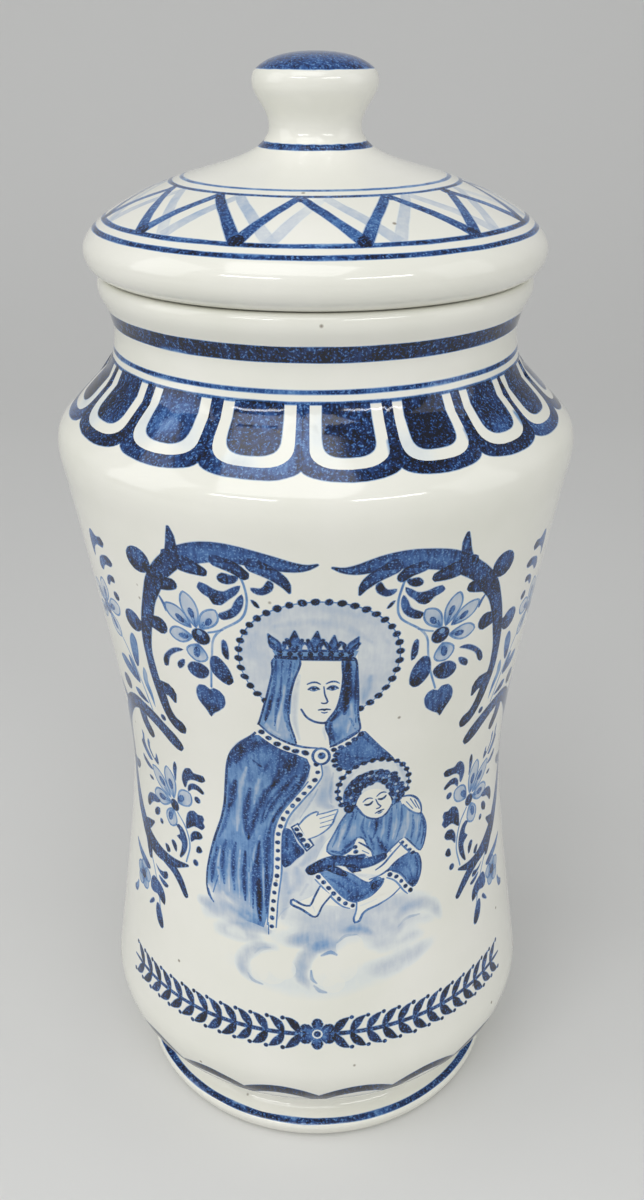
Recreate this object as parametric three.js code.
// A lidded drug jar of glazed earthenware: a waisted body on a foot ring, and a loose domed lid with a knob.
// Both pieces are hollow castings, turned about the Z axis. Millimetres, +Z up, origin on the axis at the table.

import * as THREE from 'three';

// Driving dimensions of the jar's body

const STANDING_RING_OUTER = 52.4;   // flat annulus that the jar stands on
const STANDING_RING_INNER = 46.5;
const RECESS_DEPTH = 4.5;           // hollow under the base, inside the standing ring
const RECESS_SLOPE = 1.6;           // how far its side leans in
const FOOT_RADIUS = 56.0;           // widest point of the flared foot
const FOOT_LIP = 5.2;               // height of that widest point
const COVE_RADIUS = 49.5;           // narrow place between foot and belly
const COVE_HEIGHT = 11.0;
const CORNER_RADIUS = 60.4;         // undercut lower edge of the belly
const CORNER_RISE = 12.0;           // from the cove up to that edge
const BELLY_RISE = 13.0;            // from that edge to where the tapered wall starts
const WALL_RISE = 164.5;            // tapered wall, from the belly to the shoulder's foot
const WAIST_RADIUS = 55.3;
const WAIST_SHARE = 0.467;          // waist's place up the wall
const WAIST_ROUND = 20.0;           // how softly the two tapers meet at the waist
const LOWER_TAPER = 0.156;          // radius gained per millimetre away from the waist
const UPPER_TAPER = 0.172;
const SHOULDER_ROUND = 13.0;        // height of the rounded shoulder
const SHOULDER_BULGE = 1.7;         // how far the shoulder swells past the taper's end
const SHOULDER_SLOPE_RISE = 12.6;   // sloping collar above the shoulder
const NECK_RADIUS = 51.8;
const NECK_RISE = 10.6;             // from the collar's top to the narrowest place
const RIM_FLARE_RISE = 8.2;
const RIM_RADIUS = 55.2;
const RIM_ROUND = 4.6;              // height of the rounded lip
const RIM_FLAT_OUTER = 53.2;        // flat land that the lid sits on
const WALL = 5.4;                   // cast wall
const FLOOR_THICKNESS = 5.6;
const FLOOR_ROUND = 10.0;           // inside fillet between floor and wall
const MOUTH_RADIUS = 46.4;
const MOUTH_CHAMFER = 1.0;

// Driving dimensions of the lid

const SEAT_GAP = 0.3;               // between the lid's seat and the jar's rim
const COLLAR_CLEARANCE = 1.3;       // all round, between the lid's collar and the mouth
const COLLAR_DROP = 10.5;
const COLLAR_THICKNESS = 4.2;
const COLLAR_ROUND = 1.4;
const LID_OVERHANG = 2.8;           // how far the lid's edge stands past the rim
const LID_EDGE_RISE = 6.2;          // from the seat to the widest point
const DOME_RISE = 17.9;             // from the widest point to where the sweep starts
const LID_SHELL = 5.2;              // cast wall of the lid
const HOLLOW_ROUND = 2.0;           // rounding inside the lid's hollow
const SWEEP_RADIUS = 27.0;          // hollow sweep from the dome up to the knob
const SWEEP_RISE = 9.5;
const KNOB_WAIST_RADIUS = 11.3;
const KNOB_FLARE_RISE = 10.0;       // from the knob's waist to its widest point
const KNOB_RADIUS = 15.3;
const KNOB_EDGE_ROUND = 3.0;
const KNOB_TOP_RADIUS = 14.0;
const KNOB_CROWN = 3.6;             // how far the knob's top swells

// How finely curves are cut

const TURN_STEPS = 60;
const CURVE_STEPS = 4;
const EDGE_STEPS = 3;
const DOME_STEPS = 6;
const WALL_STEPS = 10;

const glaze = { roughness: 0.16, metalness: 0.0 };
const materials = {
  body: new THREE.MeshStandardMaterial({ color: '#ece9df', ...glaze }),
  lid: new THREE.MeshStandardMaterial({ color: '#efece3', ...glaze }),
};

// Heights that follow from the sizes above

const cornerHeight = COVE_HEIGHT + CORNER_RISE;
const wallFoot = cornerHeight + BELLY_RISE;
const wallTop = wallFoot + WALL_RISE;
const waistHeight = wallFoot + WALL_RISE * WAIST_SHARE;
const shoulderTop = wallTop + SHOULDER_ROUND;
const collarTop = shoulderTop + SHOULDER_SLOPE_RISE;
const neckHeight = collarTop + NECK_RISE;
const rimFlareTop = neckHeight + RIM_FLARE_RISE;
const rimTop = rimFlareTop + RIM_ROUND;
const floorHeight = RECESS_DEPTH + FLOOR_THICKNESS;

function wallRadius(height) {
  const away = height - waistHeight;
  const taper = away < 0 ? LOWER_TAPER : UPPER_TAPER;
  return WAIST_RADIUS + taper * (Math.hypot(away, WAIST_ROUND) - WAIST_ROUND);
}

// Outline of the belly, wall, shoulder and neck, upwards from the cove. The inside is offset from it.
function outerWall() {
  const wall = new THREE.Path();
  const collarFootRadius = wallRadius(wallTop) + SHOULDER_BULGE * 0.4;
  const collarTopRadius = NECK_RADIUS + (collarFootRadius - NECK_RADIUS) * 0.14;
  wall.moveTo(COVE_RADIUS, COVE_HEIGHT);
  wall.bezierCurveTo(
    COVE_RADIUS, COVE_HEIGHT + CORNER_RISE * 0.3,
    CORNER_RADIUS - CORNER_RISE * 0.55, cornerHeight - CORNER_RISE * 0.45,
    CORNER_RADIUS, cornerHeight,
  );
  wall.quadraticCurveTo(
    wallRadius(wallFoot) - 0.1, cornerHeight + BELLY_RISE * 0.4,
    wallRadius(wallFoot), wallFoot,
  );
  for (let step = 1; step <= WALL_STEPS; step += 1) {
    const height = wallFoot + (WALL_RISE * step) / WALL_STEPS;
    wall.lineTo(wallRadius(height), height);
  }
  wall.bezierCurveTo(
    wallRadius(wallTop) + SHOULDER_BULGE, wallTop + SHOULDER_ROUND * 0.55,
    collarFootRadius + 0.6, shoulderTop - SHOULDER_ROUND * 0.18,
    collarFootRadius - 1.6, shoulderTop,
  );
  wall.lineTo(collarTopRadius + 1.4, collarTop - 1.4);
  wall.quadraticCurveTo(
    NECK_RADIUS + 0.2, collarTop + 1.2,
    NECK_RADIUS, neckHeight,
  );
  return wall.getPoints(CURVE_STEPS);
}

// Points moved inwards, square to the outline, by the thickness of the cast wall
function offsetInwards(points, distance) {
  return points.map((point, index) => {
    const before = points[Math.max(index - 1, 0)];
    const after = points[Math.min(index + 1, points.length - 1)];
    const along = after.clone().sub(before).normalize();
    return new THREE.Vector2(point.x - along.y * distance, point.y + along.x * distance);
  });
}

function turned(points, material, name) {
  const geometry = new THREE.LatheGeometry(points, TURN_STEPS);
  geometry.rotateX(Math.PI / 2);
  const mesh = new THREE.Mesh(geometry, material);
  mesh.name = name;
  return mesh;
}

function jarBody() {
  const outer = outerWall();

  const under = new THREE.Path();
  under.moveTo(0, RECESS_DEPTH);
  under.lineTo(STANDING_RING_INNER - RECESS_SLOPE, RECESS_DEPTH);
  under.lineTo(STANDING_RING_INNER, 0);
  under.lineTo(STANDING_RING_OUTER, 0);
  under.quadraticCurveTo(
    FOOT_RADIUS - 1.0, FOOT_LIP * 0.32,
    FOOT_RADIUS, FOOT_LIP,
  );
  under.quadraticCurveTo(
    FOOT_RADIUS, FOOT_LIP + 1.3,
    FOOT_RADIUS - 1.9, FOOT_LIP + 1.9,
  );
  under.quadraticCurveTo(
    COVE_RADIUS, COVE_HEIGHT - 2.6,
    COVE_RADIUS, COVE_HEIGHT,
  );

  const rim = new THREE.Path();
  rim.moveTo(NECK_RADIUS, neckHeight);
  rim.quadraticCurveTo(NECK_RADIUS + 0.3, neckHeight + RIM_FLARE_RISE * 0.45, RIM_RADIUS - 0.5, rimFlareTop);
  rim.quadraticCurveTo(RIM_RADIUS, rimFlareTop + RIM_ROUND * 0.3, RIM_RADIUS, rimFlareTop + RIM_ROUND * 0.5);
  rim.quadraticCurveTo(RIM_RADIUS, rimTop, RIM_FLAT_OUTER, rimTop);
  rim.lineTo(MOUTH_RADIUS + MOUTH_CHAMFER, rimTop);
  rim.lineTo(MOUTH_RADIUS, rimTop - MOUTH_CHAMFER);
  rim.lineTo(MOUTH_RADIUS, neckHeight);

  const lowest = floorHeight + FLOOR_ROUND;
  const inside = offsetInwards(outer, WALL)
    .filter((point) => point.y > lowest && point.y < collarTop + 3)
    .reverse();
  const last = inside[inside.length - 1];
  const floor = new THREE.Path();
  floor.moveTo(last.x, last.y);
  floor.quadraticCurveTo(last.x - FLOOR_ROUND * 0.8, floorHeight, last.x - FLOOR_ROUND * 1.9, floorHeight);
  floor.lineTo(0, floorHeight);

  const outline = [
    ...under.getPoints(EDGE_STEPS),
    ...outer.slice(1),
    ...rim.getPoints(EDGE_STEPS).slice(1),
    ...inside,
    ...floor.getPoints(CURVE_STEPS).slice(1),
  ];
  return turned(outline, materials.body, 'jar_body');
}

// The lid's dome, upwards from its rolled edge to where the sweep starts
function lidDome(edgeRadius, edgeHeight, domeTop) {
  const reach = edgeRadius - SWEEP_RADIUS;
  const dome = new THREE.Path();
  dome.moveTo(edgeRadius, edgeHeight);
  dome.bezierCurveTo(
    edgeRadius, edgeHeight + DOME_RISE * 0.37,
    SWEEP_RADIUS + reach * 0.46, domeTop - DOME_RISE * 0.21,
    SWEEP_RADIUS, domeTop,
  );
  return dome.getPoints(DOME_STEPS);
}

// The hollow sweep above the dome, then the knob's waist, flare, rounded edge and crown
function lidKnob(domeTop) {
  const waist = domeTop + SWEEP_RISE;
  const knobEdge = waist + KNOB_FLARE_RISE;
  const knobTop = knobEdge + KNOB_EDGE_ROUND;
  const knob = new THREE.Path();
  knob.moveTo(SWEEP_RADIUS, domeTop);
  knob.bezierCurveTo(
    SWEEP_RADIUS - (SWEEP_RADIUS - KNOB_WAIST_RADIUS) * 0.54, domeTop + SWEEP_RISE * 0.26,
    KNOB_WAIST_RADIUS, domeTop + SWEEP_RISE * 0.47,
    KNOB_WAIST_RADIUS, waist,
  );
  knob.bezierCurveTo(
    KNOB_WAIST_RADIUS, waist + KNOB_FLARE_RISE * 0.4,
    KNOB_RADIUS, knobEdge - KNOB_FLARE_RISE * 0.35,
    KNOB_RADIUS, knobEdge,
  );
  knob.quadraticCurveTo(
    KNOB_RADIUS, knobTop - KNOB_EDGE_ROUND * 0.35,
    KNOB_TOP_RADIUS, knobTop,
  );
  knob.quadraticCurveTo(
    KNOB_TOP_RADIUS * 0.7, knobTop + KNOB_CROWN,
    0, knobTop + KNOB_CROWN,
  );
  return knob.getPoints(CURVE_STEPS);
}

function jarLid() {
  const seat = rimTop + SEAT_GAP;
  const edgeRadius = RIM_RADIUS + LID_OVERHANG;
  const edgeHeight = seat + LID_EDGE_RISE;
  const domeTop = edgeHeight + DOME_RISE;
  const collarRadius = MOUTH_RADIUS - COLLAR_CLEARANCE;
  const collarInner = collarRadius - COLLAR_THICKNESS;
  const collarFoot = seat - COLLAR_DROP;
  const hollowFloor = seat + LID_SHELL;

  const dome = lidDome(edgeRadius, edgeHeight, domeTop);
  const hollow = offsetInwards(dome, LID_SHELL)
    .filter((point) => point.y > hollowFloor + HOLLOW_ROUND)
    .reverse();
  const lowest = hollow[hollow.length - 1];
  const roof = hollow[0].y + LID_SHELL * 0.4;

  const under = new THREE.Path();
  under.moveTo(0, roof);
  under.quadraticCurveTo(hollow[0].x * 0.5, roof, hollow[0].x, hollow[0].y);

  const collar = new THREE.Path();
  collar.moveTo(lowest.x, lowest.y);
  collar.quadraticCurveTo(
    edgeRadius - LID_SHELL, hollowFloor,
    edgeRadius - LID_SHELL - HOLLOW_ROUND * 1.6, hollowFloor,
  );
  collar.lineTo(collarInner + HOLLOW_ROUND, hollowFloor);
  collar.quadraticCurveTo(
    collarInner, hollowFloor,
    collarInner, hollowFloor - HOLLOW_ROUND,
  );
  collar.lineTo(collarInner, collarFoot + COLLAR_ROUND);
  collar.quadraticCurveTo(
    collarInner, collarFoot,
    collarRadius - COLLAR_THICKNESS / 2, collarFoot,
  );
  collar.quadraticCurveTo(
    collarRadius, collarFoot,
    collarRadius, collarFoot + COLLAR_ROUND,
  );
  collar.lineTo(collarRadius, seat);
  collar.lineTo(RIM_FLAT_OUTER + 0.4, seat);
  collar.bezierCurveTo(
    edgeRadius - 1.4, seat + LID_EDGE_RISE * 0.2,
    edgeRadius, seat + LID_EDGE_RISE * 0.5,
    edgeRadius, edgeHeight,
  );

  const outline = [
    ...under.getPoints(EDGE_STEPS),
    ...hollow.slice(1),
    ...collar.getPoints(EDGE_STEPS).slice(1),
    ...dome.slice(1),
    ...lidKnob(domeTop).slice(1),
  ];
  return turned(outline, materials.lid, 'lid');
}

const jar = new THREE.Group();
jar.name = 'drug_jar';
jar.add(jarBody(), jarLid());

export default jar;
